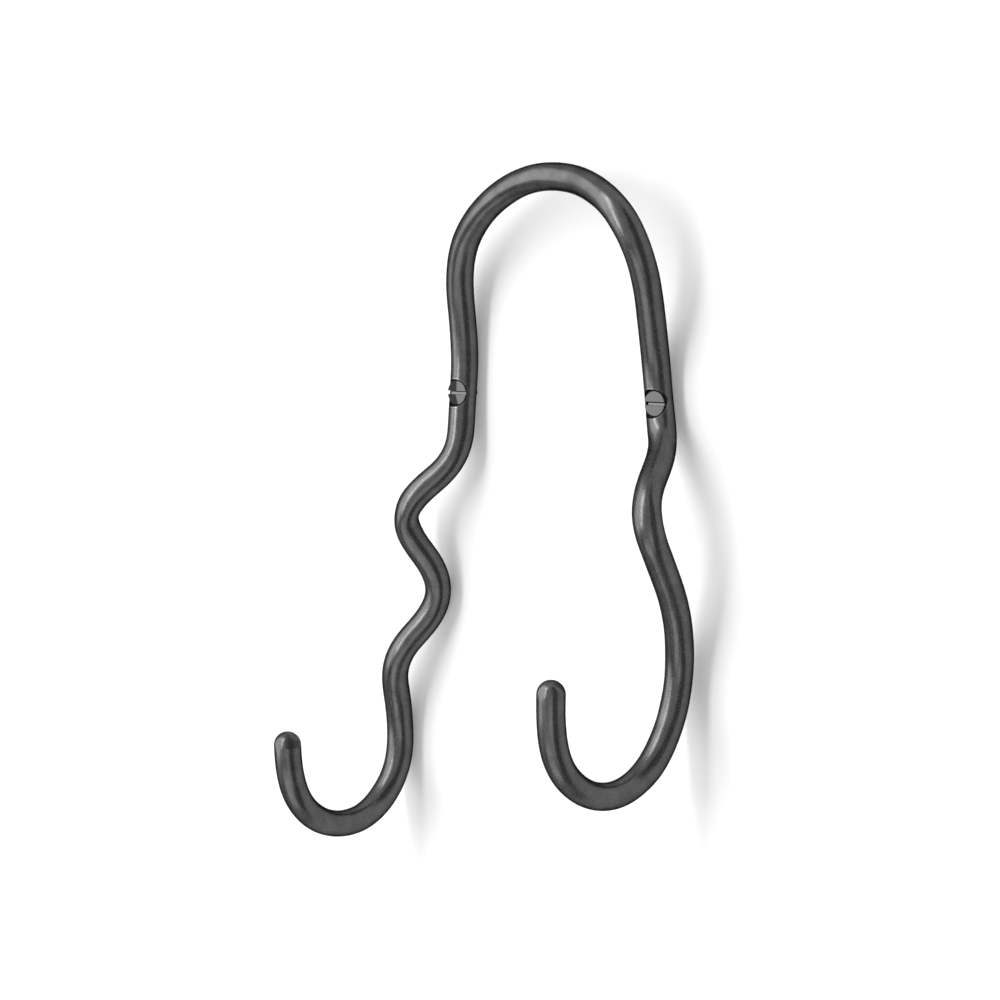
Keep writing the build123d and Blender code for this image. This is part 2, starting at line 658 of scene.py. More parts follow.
def closed_skin(name: str, rings: Array, first_pole: Array, last_pole: Array) -> bpy.types.Mesh:
    """Close a stack of rings into one skin whose faces point outwards.

    Each pair of neighbouring rings is joined by quads, and each end ring by a fan of triangles to
    its pole. The enclosed volume, one sixth of the sum of a . (b x c) over the triangles, tells
    which way the faces point, and they are turned round where it is negative.

    Args:
        name: The mesh's name.
        rings: Points with the shape (rings, points around, 3).
        first_pole: The point that closes the first ring.
        last_pole: The point that closes the last ring.

    Returns:
        The mesh, shaded smooth.
    """
    count, around, _ = rings.shape
    points = np.vstack([rings.reshape(-1, 3), first_pole[None], last_pole[None]])
    start = np.arange(around)
    following = np.roll(start, -1)
    base = (np.arange(count - 1) * around)[:, None]
    quads = np.stack(
        [base + start, base + following, base + around + following, base + around + start], axis=-1
    ).reshape(-1, 4)
    top = (count - 1) * around
    first_end, last_end = np.full(around, count * around), np.full(around, count * around + 1)
    first_fan = np.stack([following, start, first_end], axis=-1)
    last_fan = np.stack([top + start, top + following, last_end], axis=-1)
    triangles = np.vstack([quads[:, [0, 1, 2]], quads[:, [0, 2, 3]], first_fan, last_fan])
    a, b, c = (points[triangles[:, k]] for k in range(3))
    if np.einsum("ij,ij->", a, np.cross(b, c)) < 0:
        quads, first_fan, last_fan = quads[:, ::-1], first_fan[:, ::-1], last_fan[:, ::-1]
    mesh = bpy.data.meshes.new(name)
    mesh.from_pydata(points.tolist(), [], quads.tolist() + first_fan.tolist() + last_fan.tolist())
    mesh.polygons.foreach_set("use_smooth", np.ones(len(mesh.polygons), bool))
    mesh.update()
    return mesh


def new_piece(name: str, mesh: bpy.types.Mesh) -> Piece:
    """Put a mesh into the scene as an object at the origin.

    Args:
        name: The object's name.
        mesh: Its mesh, already in place.

    Returns:
        The object.
    """
    piece = bpy.data.objects.new(name, mesh)
    bpy.context.scene.collection.objects.link(piece)
    return piece


def face_centres(mesh: bpy.types.Mesh) -> Array:
    """Find the middles of a mesh's faces.

    Args:
        mesh: The mesh.

    Returns:
        Points with the shape (faces, 3).
    """
    centres = np.empty(len(mesh.polygons) * 3)
    mesh.polygons.foreach_get("center", centres)
    return centres.reshape(-1, 3)


def cut_away(piece: Piece, cutter: Piece) -> None:
    """Cut one closed solid out of another and delete the cutter.

    Args:
        piece: The object that is cut.
        cutter: The object whose space is taken away.
    """
    modifier = piece.modifiers.new("cut", "BOOLEAN")
    modifier.operation = "DIFFERENCE"
    modifier.solver = "EXACT"
    modifier.object = cutter
    graph = bpy.context.evaluated_depsgraph_get()
    result = bpy.data.meshes.new_from_object(piece.evaluated_get(graph))
    piece.modifiers.clear()
    old = piece.data
    result.name = old.name
    piece.data = result
    bpy.data.meshes.remove(old)
    bpy.data.objects.remove(cutter)


def turned_skin(name: str, outline: Array, axis_x: float, around: int) -> bpy.types.Mesh:
    """Turn an outline about a screw axis, which runs along Y at X = axis_x and Z = 0.

    A point at the angle t is (axis_x + r cos t, y, r sin t), where r is a number for a plain turned
    shape, or one number for each angle where the radius changes around the axis.

    Args:
        name: The mesh's name.
        outline: Rows of (radius, Y), or an array (rows, around + 1) of radii followed by Y.
        axis_x: Where the axis stands along X.
        around: Points around the axis.

    Returns:
        The closed mesh. The first and last rows are closed by a point on the axis.
    """
    angle = np.linspace(0, 2 * math.pi, around, endpoint=False)
    radius, y = outline[:, :-1], outline[:, -1:]
    radius = np.broadcast_to(radius, (len(outline), around))
    x, z = axis_x + radius * np.cos(angle), radius * np.sin(angle)
    rings = np.stack([x, np.broadcast_to(y, radius.shape), z], axis=-1)
    ends = [np.array([axis_x, float(y[k, 0]), 0.0]) for k in (0, -1)]
    return closed_skin(name, rings, ends[0], ends[1])


# -------------------------------------------------------------------------------------- sub-pieces


@dataclass(frozen=True)
class FiledFlat:
    """A flat filed on the end of the bar, its border softened by wear.

    way is the direction it faces, and distance is how far it lies from the middle of the end's
    dome, where 1 is the bar's radius and would leave the dome whole.
    """

    way: Point
    distance: float
    softness: float = 0.12 * MM

    def file(self, points: Array, middle: Array, radius: float) -> Array:
        """File points flat: what stands out past the flat goes back to it along its normal.

        A point p past the flat goes back by (p + sqrt(p^2 + softness^2)) / 2, which is nearly p on
        the flat, nearly 0 away from it, and changes gently between the two.

        Args:
            points: Points on the end of the bar.
            middle: The middle of the dome.
            radius: The bar's radius.

        Returns:
            The filed points, in the same shape.
        """
        normal = np.array(self.way) / np.linalg.norm(self.way)
        proud = (points - middle) @ normal - self.distance * radius
        back = (proud + np.sqrt(proud**2 + self.softness**2)) / 2
        return points - back[..., None] * normal


@dataclass
class BentBar:
    """The 8 mm round bar, bent into an arch with two wavy legs that curl forward into hooks."""

    STRAIGHT = "straight_bar"

    diameter: float = 8.0 * MM
    # Spacing of the centre line's points, and of the rings far from the screws and beside them.
    line_step: float = 0.1 * MM
    coarse_step: float = 0.62 * MM
    fine_step: float = 0.3 * MM
    fine_reach: float = 6.0 * MM
    around: int = 80
    dome_rings: int = 14
    smoothing: float = 2.5 * MM
    flattening: float = 0.9
    # Height of the longest ripple, and the ripples' lengths along the bar.
    ripple: float = 0.05 * MM
    ripple_lengths: tuple[float, ...] = (47 * MM, 26 * MM, 15.1 * MM)
    dents: int = 150
    dent_depth: Pair = (0.02 * MM, 0.09 * MM)
    dent_width: Pair = (1.6 * MM, 4.2 * MM)
    dent_stretch: float = 1.6
    seat: SunkSeat = SunkSeat()
    hole_radius: float = 2.0 * MM
    hole_around: int = 96
    seat_clearance: float = 0.05 * MM
    head_rim: float = 0.35 * MM
    crease: float = math.radians(32)
    pattern_step: float = 0.5 * MM
    seed: int = 11
    left_flats: tuple[FiledFlat, ...] = (
        FiledFlat((-0.09, -0.97, 0.21), 0.92),
        FiledFlat((0.6, 0.15, 0.72), 0.87),
    )
    right_flats: tuple[FiledFlat, ...] = (
        FiledFlat((-0.09, -0.97, 0.23), 0.93, softness=0.05 * MM),
        FiledFlat((0.6, 0.15, 0.72), 0.93),
    )
    # The dull patch on the left lip: how far it reaches below the dome, and its two sides, in
    # degrees from -Y.
    dull_depth: float = 0.5 * MM
    dull_sides: Pair = (35.0, 130.0)
    # Corners of the centre line in metres, from the left lip to the right lip.
    corners: tuple[Point, ...] = (
        (-0.066, -0.04775, -0.1015),
        (-0.0655, -0.04775, -0.1155),
        (-0.0645, -0.035, -0.12725),
        (-0.063, -0.0175, -0.1275),
        (-0.06175, -0.0045, -0.1145),
        (-0.06175, -0.004, -0.097),
        (-0.0585, -0.012, -0.0795),
        (-0.04725, -0.004, -0.0655),
        (-0.04475, -0.005, -0.054),
        (-0.0515, -0.0135, -0.0405),
        (-0.04925, -0.0145, -0.03175),
        (-0.036, -0.0065, -0.0195),
        (-0.03625, -0.00475, -0.004),
        (-0.03575, -0.00375, 0.013),
        (-0.035, -0.009, 0.038),
        (-0.0215, -0.0135, 0.05325),
        (-0.0035, -0.0145, 0.0625),
        (0.014, -0.015, 0.0625),
        (0.03, -0.0195, 0.05675),
        (0.03825, -0.02, 0.048),
        (0.04, -0.015, 0.0355),
        (0.03575, -0.00625, 0.017),
        (0.0355, -0.00425, 0.005),
        (0.03725, -0.00475, -0.006),
        (0.04125, -0.0085, -0.013),
        (0.04575, -0.023, -0.025),
        (0.04825, -0.024, -0.034),
        (0.04825, -0.0195, -0.0415),
        (0.048, -0.011, -0.0555),
        (0.04475, -0.005, -0.0725),
        (0.044, -0.0085, -0.089),
        (0.04275, -0.0175, -0.102),
        (0.04025, -0.0305, -0.10725),
        (0.037, -0.0425, -0.103),
        (0.0355, -0.0504, -0.091),
        (0.0358, -0.0502, -0.076),
    )

    def centre_line(self) -> Array:
        """The bar's smooth centre line.

        It is the quadratic spline whose control points are the corners: each inner corner p rules
        one span from a to b, the middles of its two runs (or the end of the bar), as
        (1 - t)^2 a + 2 t (1 - t) p + t^2 b. The line is then averaged with a bell-shaped window,
        mirrored through its two ends, so that its curvature changes gently.

        Returns:
            Points one line step apart, with the shape (n, 3).
        """
        span_points = 400
        corners = np.array(self.corners)
        middles = (corners[:-1] + corners[1:]) / 2
        middles[0], middles[-1] = corners[0], corners[-1]
        t = np.linspace(0, 1, span_points, endpoint=False)[:, None]
        a, p, b = middles[:-1, None], corners[1:-1, None], middles[1:, None]
        line = ((1 - t) ** 2 * a + 2 * t * (1 - t) * p + t**2 * b).reshape(-1, 3)
        line = np.vstack([line, corners[-1]])
        line = self._even(line, self.line_step)
        reach = int(3 * self.smoothing / self.line_step)
        distance = np.arange(-reach, reach + 1) * self.line_step
        window = np.exp(-0.5 * (distance / self.smoothing) ** 2)
        window /= window.sum()
        before = 2 * line[0] - line[reach:0:-1]
        after = 2 * line[-1] - line[-2 : -reach - 2 : -1]
        padded = np.vstack([before, line, after])
        return np.stack([np.convolve(padded[:, k], window, "valid") for k in range(3)], axis=-1)

    @staticmethod
    def _length_along(line: Array) -> Array:
        """The distance along a line at each of its points."""
        return np.concatenate([[0.0], np.cumsum(np.linalg.norm(np.diff(line, axis=0), axis=1))])

    def _even(self, line: Array, step: float) -> Array:
        """Space a line's points evenly.

        Args:
            line: Points on the line.
            step: The wished distance between neighbouring points.

        Returns:
            Points on the same line, about one step apart.
        """
        along = self._length_along(line)
        stations = np.linspace(0, along[-1], int(round(along[-1] / step)) + 1)
        return np.stack([np.interp(stations, along, line[:, k]) for k in range(3)], axis=-1)

    def stations(self, line: Array, screw_x: dict[Side, float]) -> Array:
        """Distances along the bar for the rings, closer together beside the screws.

        The step at s is the coarse step less a bell around each screw, and the rings stand where
        the running sum of 1 / step passes whole numbers.

        Args:
            line: The centre line.
            screw_x: Where each screw's axis stands along X.

        Returns:
            The distances, from 0 to the line's length.
        """
        along = self._length_along(line)
        step = np.full(len(along), self.coarse_step)
        for x in screw_x.values():
            nearest = along[np.argmin(np.hypot(line[:, 0] - x, line[:, 2]))]
            bell = np.exp(-(((along - nearest) / self.fine_reach) ** 4))
            step -= (self.coarse_step - self.fine_step) * bell
        count = np.concatenate([[0.0], np.cumsum(np.diff(along) / step[1:])])
        return np.interp(np.linspace(0, count[-1], int(count[-1]) + 1), count, along)

    def frames(self, line: Array, stations: Array) -> tuple[Array, Array, Array, Array, Array]:
        """Centre, direction, two crosswise axes and bend at each station.

        The direction t is the line's slope. The first crosswise axis is t x (1, 1, 0) made one
        long, which never vanishes because the bar never runs along that diagonal, and the second
        is t x the first. The bend is the change of t with length.

        Args:
            line: The centre line.
            stations: Distances along it.

        Returns:
            The five arrays in that order, each with the shape (stations, 3).
        """
        along = self._length_along(line)
        slope = np.gradient(line, along, axis=0)
        slope /= np.linalg.norm(slope, axis=1)[:, None]
        bend = np.gradient(slope, along, axis=0)
        columns = np.hstack([line, slope, bend])
        picked = np.stack([np.interp(stations, along, column) for column in columns.T], axis=-1)
        centre, direction, bend = picked[:, :3], picked[:, 3:6], picked[:, 6:]
        direction = direction / np.linalg.norm(direction, axis=1)[:, None]
        first = np.cross(direction, np.array([1.0, 1.0, 0.0]))
        first /= np.linalg.norm(first, axis=1)[:, None]
        second = np.cross(direction, first)
        return centre, direction, first, second, bend

    def radii(self, stations: Array, angle: Array, across: Array) -> Array:
        """The bar's radius at each station and angle.

        The radius is R (1 - f R^2 ((k . e)^2 - k . k / 2)), with k the bend and e the way out at
        that angle, which makes the bar a little oval in a tight bend. Long ripples are sines of
        the distance and the angle, and small dents are bells taken off at random places.

        Args:
            stations: Distances along the bar.
            angle: Angles around the bar.
            across: The bend along each way out, (stations, angles), with the bend's own size last.

        Returns:
            Radii with the shape (stations, angles).
        """
        nominal = self.diameter / 2
        along, outward = across[:, -1:], across[:, :-1]
        radius = nominal * (1 - self.flattening * nominal**2 * (outward**2 - along**2 / 2))
        s, a = stations[:, None], angle[None, :]
        draw = np.random.default_rng(self.seed)
        for length in self.ripple_lengths:
            turn, shift = draw.integers(1, 4), draw.uniform(0, 2 * math.pi, 2)
            height = self.ripple * length / self.ripple_lengths[0]
            wave = np.sin(2 * math.pi * s / length + shift[0]) * np.sin(turn * a + shift[1])
            radius = radius + height * wave
        where = draw.uniform(0, stations[-1], self.dents)
        facing = draw.uniform(0, 2 * math.pi, self.dents)
        depth = draw.uniform(*self.dent_depth, self.dents)
        width = draw.uniform(*self.dent_width, self.dents)
        for place, way, deep, wide in zip(where, facing, depth, width):
            near = np.abs(stations - place) < 3 * wide
            ahead = (stations[near, None] - place) / (self.dent_stretch * wide)
            swing = (angle - way + math.pi) % (2 * math.pi) - math.pi
            radius[near] -= deep * np.exp(-(ahead**2) - (swing * nominal / wide) ** 2)
        return radius

    def skin(self, screw_x: dict[Side, float]) -> bpy.types.Mesh:
        """The whole bar before its holes: rings along the centre line and two domed ends.

        A ring of the body is centre + r (cos a first + sin a second). A ring of a dome is moved
        on by R cos b and its radius is R sin b, for b from the pole to the body.

        Args:
            screw_x: Where each screw's axis stands along X.

        Returns:
            The closed mesh.
        """
        line = self.centre_line()
        stations = self.stations(line, screw_x)
        centre, direction, first, second, bend = self.frames(line, stations)
        angle = np.linspace(0, 2 * math.pi, self.around, endpoint=False)
        cosine, sine = np.cos(angle)[None, :, None], np.sin(angle)[None, :, None]
        out = cosine * first[:, None] + sine * second[:, None]
        outward = np.einsum("nk,nak->na", bend, out)
        across = np.hstack([outward, np.linalg.norm(bend, axis=1)[:, None]])
        radius = self.radii(stations, angle, across)
        body = centre[:, None] + radius[..., None] * out
        turn = np.linspace(0, math.pi / 2, self.dome_rings + 1)[1:-1, None, None]
        nominal = self.diameter / 2
        start = centre[0] - nominal * np.cos(turn) * direction[0]
        start = start + np.sin(turn) * radius[0][None, :, None] * out[0]
        end = centre[-1] + nominal * np.cos(turn[::-1]) * direction[-1]
        end = end + np.sin(turn[::-1]) * radius[-1][None, :, None] * out[-1]
        start_pole = centre[0] - nominal * direction[0]
        end_pole = centre[-1] + nominal * direction[-1]
        rings = np.concatenate([start, body, end])
        reach = self.dome_rings + int(nominal / self.coarse_step)
        for flat in self.left_flats:
            rings[:reach] = flat.file(rings[:reach], centre[0], nominal)
            start_pole = flat.file(start_pole, centre[0], nominal)
        for flat in self.right_flats:
            rings[-reach:] = flat.file(rings[-reach:], centre[-1], nominal)
            end_pole = flat.file(end_pole, centre[-1], nominal)
        return closed_skin("bent_bar", rings, start_pole, end_pole)

    def dull_patch(self, centres: Array) -> Array:
        """Pick the faces in the dull patch on the left lip.

        Args:
            centres: The middles of the bar's faces.

        Returns:
            True for a face in the patch.
        """
        middle = self.centre_line()[0]
        x, y, z = (centres - middle).T
        side = np.degrees(np.arctan2(x, -y))
        near = (np.hypot(x, y) < self.diameter) & (z > -self.dull_depth)
        return near & (side > self.dull_sides[0]) & (side < self.dull_sides[1])

    def store_straight(self, mesh: bpy.types.Mesh) -> None:
        """Store each point's place on the bar as if it were straight, for patterns along it.

        The nearest point of the centre line gives the distance along the bar, and the offset from
        it, measured on the two crosswise axes there, gives the other two numbers. The points are
        handled in blocks, to spare memory.

        Args:
            mesh: The bar's mesh.
        """
        block_size = 4000
        line = self._even(self.centre_line(), self.pattern_step)
        stations = self._length_along(line)
        centre, _, first, second, _ = self.frames(line, stations)
        points = np.empty(len(mesh.vertices) * 3)
        mesh.vertices.foreach_get("co", points)
        points = points.reshape(-1, 3)
        blocks = np.array_split(points, max(1, len(points) // block_size))
        nearest = np.concatenate(
            [((block[:, None] - centre[None]) ** 2).sum(-1).argmin(1) for block in blocks]
        )
        offset = points - centre[nearest]
        u = np.einsum("nk,nk->n", offset, first[nearest])
        v = np.einsum("nk,nk->n", offset, second[nearest])
        straight = np.stack([stations[nearest], u, v], axis=-1).astype(np.float32)
        attribute = mesh.attributes.new(self.STRAIGHT, "FLOAT_VECTOR", "POINT")
        attribute.data.foreach_set("vector", straight.ravel())

    def hole_cutter(self, side: Side, axis_x: float, face_y: float, head_radius: float) -> Piece:
        """The space of one screw's sunk entry, countersink and clearance hole.

        The countersink is a 90 degree cone, so its radius is the distance to its apex.

        Args:
            side: Which screw it is, for the name.
            axis_x: Where the screw's axis stands along X.
            face_y: Where the screw head's face stands along Y.
            head_radius: Radius of the screw head.

        Returns:
            A solid that reaches out of the bar on both sides.
        """
        beyond, step = 6 * MM, 0.01 * MM
        apex = face_y + self.head_rim + head_radius + self.seat_clearance
        mouth = self.seat.radius(np.linspace(0, 2 * math.pi, self.hole_around, endpoint=False))
        narrow = np.full(self.hole_around, self.seat.across)
        hole = np.full(self.hole_around, self.hole_radius)
        outline = np.array(
            [
                (*mouth, face_y - beyond),
                (*mouth, apex - self.seat.across),
                (*narrow, apex - self.seat.across + step),
                (*hole, apex - self.hole_radius),
                (*hole, beyond),
            ]
        )
        skin = turned_skin("cutter", outline, axis_x, self.hole_around)
        return new_piece(f"{side.value}_cutter", skin)

    def in_holes(self, centres: Array, screw_x: dict[Side, float], face_y: float) -> Array:
        """Pick the faces inside the two sunk holes.

        Args:
            centres: The middles of the bar's faces.
            screw_x: Where each screw's axis stands along X.
            face_y: Where the screw heads' faces stand along Y.

        Returns:
            True for a face in a hole.
        """
        edge, deepest = 1.002, face_y + 3 * MM
        inside = np.zeros(len(centres), bool)
        for x in screw_x.values():
            inside |= self.seat.reach(centres[:, 0] - x, centres[:, 2]) < edge
        return inside & (centres[:, 1] < deepest)

    def build(
        self, screw_x: dict[Side, float], face_y: float, head_radius: float, finish: BlackenedSteel
    ) -> Piece:
        """Make the bar, cut its holes and dress it.

        Args:
            screw_x: Where each screw's axis stands along X.
            face_y: Where the screw heads' faces stand along Y.
            head_radius: Radius of the screw heads.
            finish: The bar's finish.

        Returns:
            The bar.
        """
        bar = new_piece("bent_bar", self.skin(screw_x))
        for side, x in screw_x.items():
            cut_away(bar, self.hole_cutter(side, x, face_y, head_radius))
        mesh = bar.data
        mesh.set_sharp_from_angle(angle=self.crease)
        self.store_straight(mesh)
        mesh.materials.clear()
        mesh.materials.append(finish.material(screw_x))
        # The screw holes are near-black: oxide, and painted shade of the gap around each head.
        mesh.materials.append(DullOxideAndPaintedShade("dull_oxide_in_the_screw_holes").material())
        lip_finish = DullOxideAndPaintedShade(
            "dull_oxide_on_the_left_lip",
            colour="#3e3e3e",
            roughness=(0.34, 0.5),
            grain_mm=0.45,
            grain_height_mm=0.02,
        )
        mesh.materials.append(lip_finish.material())
        centres = face_centres(mesh)
        finishes = np.where(self.dull_patch(centres), 2, 0)
        finishes[self.in_holes(centres, screw_x, face_y)] = 1
        mesh.polygons.foreach_set("material_index", finishes)
        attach(bar, "root")
        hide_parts("hook_rod")
        LOG.info("bar: %d points, %d faces", len(mesh.vertices), len(mesh.polygons))
        return bar


@dataclass
class WoodScrew:
    """A 3.5 mm slotted countersunk wood screw, its axis along Y and its head towards -Y."""

    side: Side
    axis_x: float
    face_y: float
    point_y: float
    head_radius: float
    # Whether the head's left part gets a painted dark reflection.
    painted_dark_reflection: bool
    thread_phase: float
    head_rim: float = 0.35 * MM
    edge_break: float = 0.1 * MM
    crown: float = 0.04 * MM
    neck_radius: float = 1.3 * MM
    # The hollow between cone and neck: where it leaves the cone, its middle and its end, each as
    # (radius, Y) from the point at which the cone would meet the neck.
    neck_hollow: tuple[Pair, ...] = (
        (0.25 * MM, -0.25 * MM),
        (0.06 * MM, 0.15 * MM),
        (0.0, 0.35 * MM),
    )
    crest_radius: float = 1.88 * MM
    root_radius: float = 1.22 * MM
    pitch: float = 1.6 * MM
    ridge_width: float = 0.27
    row_step: float = 0.11 * MM
    thread_start: float = -2.1 * MM
    taper: float = 6.0 * MM
    taper_power: float = 0.8
    tip_radius: float = 0.03 * MM
    slot_width: float = 1.05 * MM
    slot_depth: float = 1.0 * MM
    slot_corner: float = 0.08 * MM
    around: int = 96
    crease: float = math.radians(35)

    def head(self) -> Array:
        """Outline of the head and neck.

        It is a face crowned like a shallow dome, y = face + crown (r / R)^2, a small broken edge,
        the cylindrical rim, a 90 degree cone and a hollow into the neck.

        Returns:
            Rows of (radius, Y).
        """
        face_rows, edge_rows, cone_rows, innermost = 12, 4, 8, 0.06
        r, small = self.head_radius, self.edge_break
        across = np.linspace(innermost, 1.0, face_rows) * (r - small)
        face = np.stack([across, self.face_y + self.crown * (across / r) ** 2], axis=-1)
        turn = np.linspace(0, math.pi / 2, edge_rows + 1)[1:]
        edge_r = r - small + small * np.sin(turn)
        edge = np.stack([edge_r, face[-1, 1] + small - small * np.cos(turn)], axis=-1)
        apex = self.face_y + self.head_rim + r
        cone_r = np.linspace(r, self.neck_radius + self.neck_hollow[0][0], cone_rows)
        cone = np.stack([cone_r, apex - cone_r], axis=-1)
        neck = np.array(self.neck_hollow[1:]) + (self.neck_radius, apex - self.neck_radius)
        return np.vstack([face, edge, cone, neck])

    def thread(self, start_y: float) -> Array:
        """The neck, the helical thread and the tapered point.

        At the distance y and the angle a the turn count is u = y / pitch - a / 2 pi + phase. The
        thread is a ridge 1 - |frac(u) - 1/2| / w, cut off at 0, standing on the root. It fades in
        over one pitch, and root and ridge both shrink towards the point.

        Args:
            start_y: Where the first row stands along Y.

        Returns:
            Rows of one radius for each angle, followed by Y.
        """
        angle = np.linspace(0, 2 * math.pi, self.around, endpoint=False)[None]
        rows = int((self.point_y - start_y) / self.row_step)
        y = np.linspace(start_y, self.point_y, rows)[:, None]
        count = y / self.pitch - angle / (2 * math.pi) + self.thread_phase
        ridge = np.clip(1 - np.abs(count % 1 - 0.5) / self.ridge_width, 0, 1)
        grow = np.clip((y - self.thread_start) / self.pitch, 0, 1)
        shrink = np.clip((self.point_y - y) / self.taper, 0, 1) ** self.taper_power
        root = self.neck_radius + (self.root_radius - self.neck_radius) * grow
        radius = shrink * (root + (self.crest_radius - self.root_radius) * ridge * grow)
        return np.hstack([np.maximum(radius, self.tip_radius), y])

    def slot_cutter(self) -> Piece:
        """The slot's space: a rectangle with small rounded lower corners, carried along X.

        Returns:
            A solid that reaches out of the head in front and at both ends.
        """
        corner_points, overhang, above = 5, 1.5, 1 * MM
        half, deep, corner = self.slot_width / 2, self.face_y + self.slot_depth, self.slot_corner
        turn = np.linspace(0, math.pi / 2, corner_points)
        right = np.array([half, deep]) - corner
        right = right + corner * np.stack([np.sin(turn), np.cos(turn)], axis=-1)
        left = right[::-1] * np.array([-1.0, 1.0])
        top = np.array([(half, self.face_y - above), (-half, self.face_y - above)])
        z, y = np.vstack([right, top, left]).T
        x = self.axis_x + np.array([-overhang, overhang]) * self.head_radius
        rings = np.stack(np.broadcast_arrays(x[:, None], y[None], z[None]), axis=-1)
        middle_y = self.face_y + 0.3 * self.slot_depth
        poles = [np.array([end, middle_y, 0.0]) for end in x]
        return new_piece("slot_cutter", closed_skin("slot_cutter", rings, poles[0], poles[1]))

    def finish_of_faces(self, centres: Array) -> Array:
        """Pick each face's finish.

        Args:
            centres: The middles of the screw's faces.

        Returns:
            0 for the turned face, 1 for the slot and 2 for all that lies behind the face's edge.
        """
        sliver, face_skin, slot_end, edge_share = 0.01 * MM, 0.05 * MM, 0.2 * MM, 0.8
        radius = np.hypot(centres[:, 0] - self.axis_x, centres[:, 2])
        deep = centres[:, 1] > self.face_y + self.crown + face_skin
        behind = deep | (radius > self.head_radius - edge_share * self.edge_break)
        in_slot = deep & (np.abs(centres[:, 2]) < self.slot_width / 2 + sliver)
        in_slot &= centres[:, 1] < self.face_y + self.slot_depth + 2 * sliver
        in_slot &= radius < self.head_radius - slot_end
        return np.where(in_slot, 1, np.where(behind, 2, 0))

    def build(self, finish: TurnedScrewSteel, slot_finish: MilledSteel) -> Piece:
        """Make the screw, cut its slot and dress it.

        Args:
            finish: The finish of the head's face.
            slot_finish: The finish inside the slot.

        Returns:
            The screw.
        """
        head = self.head()
        rows = np.hstack([np.repeat(head[:, :1], self.around, axis=1), head[:, 1:]])
        neck_row = 0.2 * MM
        outline = np.vstack([rows, self.thread(head[-1, 1] + neck_row)])
        name = f"{self.side.value}_wood_screw"
        screw = new_piece(name, turned_skin(name, outline, self.axis_x, self.around))
        cut_away(screw, self.slot_cutter())
        mesh = screw.data
        mesh.set_sharp_from_angle(angle=self.crease)
        mesh.materials.clear()
        mesh.materials.append(finish.material(self.side, self.axis_x, self.painted_dark_reflection))
        mesh.materials.append(slot_finish.material(self.side))
        # The rim, cone and shank are near-black: oxide, and painted shade of the gap between head
        # and hole.
        mesh.materials.append(DullOxideAndPaintedShade(f"dull_oxide_on_the_{self.side.value}_shank").material())
        mesh.polygons.foreach_set("material_index", self.finish_of_faces(face_centres(mesh)))
        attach(screw, "root")
        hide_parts(f"{self.side.value}_screw")
        LOG.info("%s: %d points, %d faces", name, len(mesh.vertices), len(mesh.polygons))
        return screw


# ------------------------------------------------------------------------------------------ studio


@dataclass(frozen=True)
class Softbox:
    """A large soft lamp that shines at the hook from a direction.

    Azimuth 0 is straight in front of the wall and grows towards +X, and elevation is above the
    horizon, both in degrees. radiance is how bright its face is, where 1 is paper white.
    """

    name: str
    azimuth: float
    elevation: float
    distance: float
    width: float
    height: float
    radiance: float

    def place(self, target: Vector) -> Piece:
        """Hang the lamp so that its face looks at the target.

        Args:
            target: The point that it looks at.

        Returns:
            The lamp.
        """
        a, e = math.radians(self.azimuth), math.radians(self.elevation)
        way = Vector((math.sin(a) * math.cos(e), -math.cos(a) * math.cos(e), math.sin(e)))
        lamp = bpy.data.lights.new(self.name, "AREA")
        lamp.shape = "RECTANGLE"
        lamp.size, lamp.size_y = self.width, self.height
        lamp.energy = self.radiance * math.pi * self.width * self.height
        holder = bpy.data.objects.new(self.name, lamp)
        bpy.context.scene.collection.objects.link(holder)
        holder.location = target + way * self.distance
        holder.rotation_mode = "QUATERNION"
        holder.rotation_quaternion = way.to_track_quat("Z", "Y")
        holder.visible_camera = False
        return holder


@dataclass(frozen=True)
class Flat:
    """A grey card that keeps part of the room dark for the metal, and isn't seen by the camera."""

    name: str
    colour: str
    corners: tuple[Point, ...]


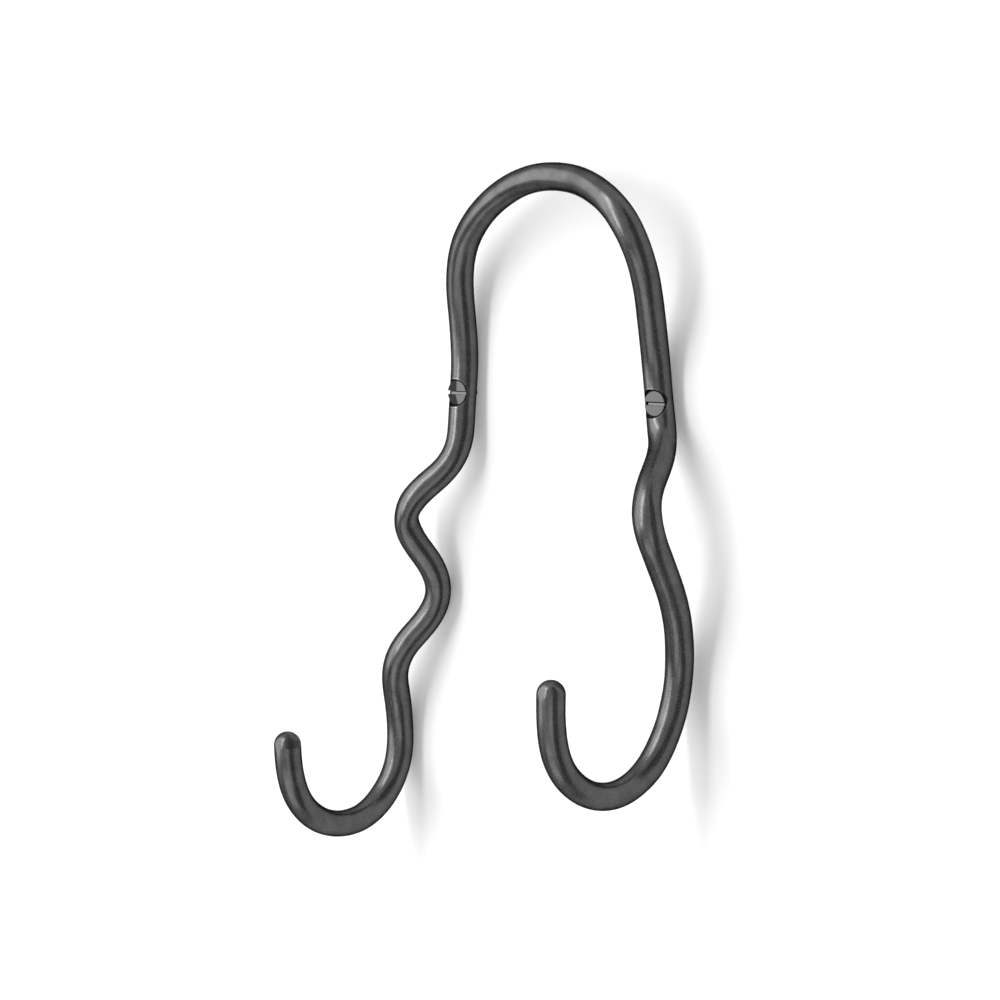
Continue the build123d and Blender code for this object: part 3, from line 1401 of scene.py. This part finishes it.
@dataclass
class Studio:
    """A white wall, four soft lamps, two grey cards and the camera."""

    target: Vector
    paint: StudioPaint = StudioPaint()
    wall_half: float = 1.6
    room_light: float = 0.22
    lamps: tuple[Softbox, ...] = (
        Softbox("key_softbox", -16.0, 26.0, 1.5, 0.34, 1.9, 8.3),
        Softbox("side_softbox", -47.0, 18.0, 1.5, 0.95, 2.1, 2.45),
        Softbox("low_fill_softbox", 2.0, -43.0, 1.1, 0.84, 0.75, 1.5),
        Softbox("low_right_softbox", 40.0, -24.0, 1.5, 0.6, 0.65, 0.8),
    )
    flats: tuple[Flat, ...] = (
        Flat(
            "right_flat",
            "#9b9b9b",
            ((1.2, -1.0, -1.4), (1.2, -0.02, -1.4), (1.2, -0.02, 2.6), (1.2, -1.0, 2.6)),
        ),
        Flat(
            "floor_flat",
            "#efefef",
            ((-1.6, -4.0, -1.4), (1.2, -4.0, -1.4), (1.2, -0.02, -1.4), (-1.6, -0.02, -1.4)),
        ),
    )
    lens: float = 118.44
    sensor: float = 36.0
    nearest_seen: float = 0.05
    farthest_seen: float = 20.0
    camera_at: Point = (0.59835, -0.7182, 0.0605)
    camera_turn: float = 41.0
    camera_dip: float = 5.5

    def sheet(self, name: str, corners: tuple[Point, ...], material: Material) -> Piece:
        """Put up one flat sheet of the studio, which isn't part of the hook.

        Args:
            name: The sheet's name.
            corners: Its corners, anticlockwise as seen from its front.
            material: What it is made of.

        Returns:
            The sheet.
        """
        mesh = bpy.data.meshes.new(name)
        mesh.from_pydata(corners, [], [(0, 1, 2, 3)])
        sheet = new_piece(name, mesh)
        mesh.materials.append(material)
        return sheet

    def walls(self) -> None:
        """The wall behind the hook, facing -Y, and the grey cards beside and below it."""
        w = self.wall_half
        wall = ((-w, 0, -w), (w, 0, -w), (w, 0, w), (-w, 0, w))
        self.sheet("studio_wall", wall, self.paint.material())
        for flat in self.flats:
            card, tree = new_material(f"matt_card_{flat.name}")
            colour = linear(flat.colour)
            matt = add_node(tree, "ShaderNodeBsdfDiffuse", inputs={"Color": colour}).outputs[0]
            add_node(tree, "ShaderNodeOutputMaterial", inputs={"Surface": matt})
            self.sheet(flat.name, flat.corners, card).visible_camera = False

    def world(self) -> None:
        """Even room light, with a white surround for the eye, the metal and glass."""
        world = bpy.data.worlds.new("studio_room")
        bpy.context.scene.world = world
        world.use_nodes = True
        tree = world.node_tree
        tree.nodes.clear()
        room, white = (
            add_node(
                tree, "ShaderNodeBackground", inputs={"Color": WHITE, "Strength": strength}
            ).outputs[0]
            for strength in (self.room_light, 1.0)
        )
        surface = add_node(
            tree, "ShaderNodeMixShader", inputs={0: seen_directly(tree), 1: room, 2: white}
        ).outputs[0]
        add_node(tree, "ShaderNodeOutputWorld", inputs={"Surface": surface})

    def camera(self) -> None:
        """The camera, right of the hook and slightly above it."""
        turn, dip = math.radians(self.camera_turn), math.radians(self.camera_dip)
        level = math.cos(dip)
        ahead = Vector((-math.sin(turn) * level, math.cos(turn) * level, -math.sin(dip)))
        camera = bpy.data.cameras.new("camera")
        camera.lens = self.lens
        camera.sensor_width = self.sensor
        camera.clip_start, camera.clip_end = self.nearest_seen, self.farthest_seen
        holder = bpy.data.objects.new("camera", camera)
        bpy.context.scene.collection.objects.link(holder)
        holder.location = self.camera_at
        holder.rotation_mode = "QUATERNION"
        holder.rotation_quaternion = ahead.to_track_quat("-Z", "Y")
        bpy.context.scene.camera = holder

    def build(self) -> None:
        """Set up the whole studio."""
        self.walls()
        self.world()
        for lamp in self.lamps:
            lamp.place(self.target)
        self.camera()
        bpy.context.scene.view_settings.view_transform = "Standard"
        LOG.info("studio: a wall, %d lamps and %d cards", len(self.lamps), len(self.flats))


# -------------------------------------------------------------------------------------------- main


def main() -> None:
    """Load the frame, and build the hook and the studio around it."""
    logging.basicConfig(level=logging.INFO, format="%(name)s: %(message)s")
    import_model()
    boxes = {side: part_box(f"{side.value}_screw") for side in Side}
    screw_x = {side: (low.x + high.x) / 2 for side, (low, high) in boxes.items()}
    low, high = boxes[Side.RIGHT]
    head_radius = (high.z - low.z) / 2
    BentBar().build(screw_x, low.y, head_radius, BlackenedSteel())
    for side in Side:
        low, high = boxes[side]
        screw = WoodScrew(
            side, screw_x[side], low.y, high.y, head_radius, side is Side.LEFT, THREAD_PHASE[side]
        )
        screw.build(TurnedScrewSteel(), MilledSteel(SLOT_PAINTED_SHADOW_FROM[side]))
    middle = Vector((0.0, -0.01, -0.03))
    Studio(middle).build()


if __name__ == "__main__":
    main()
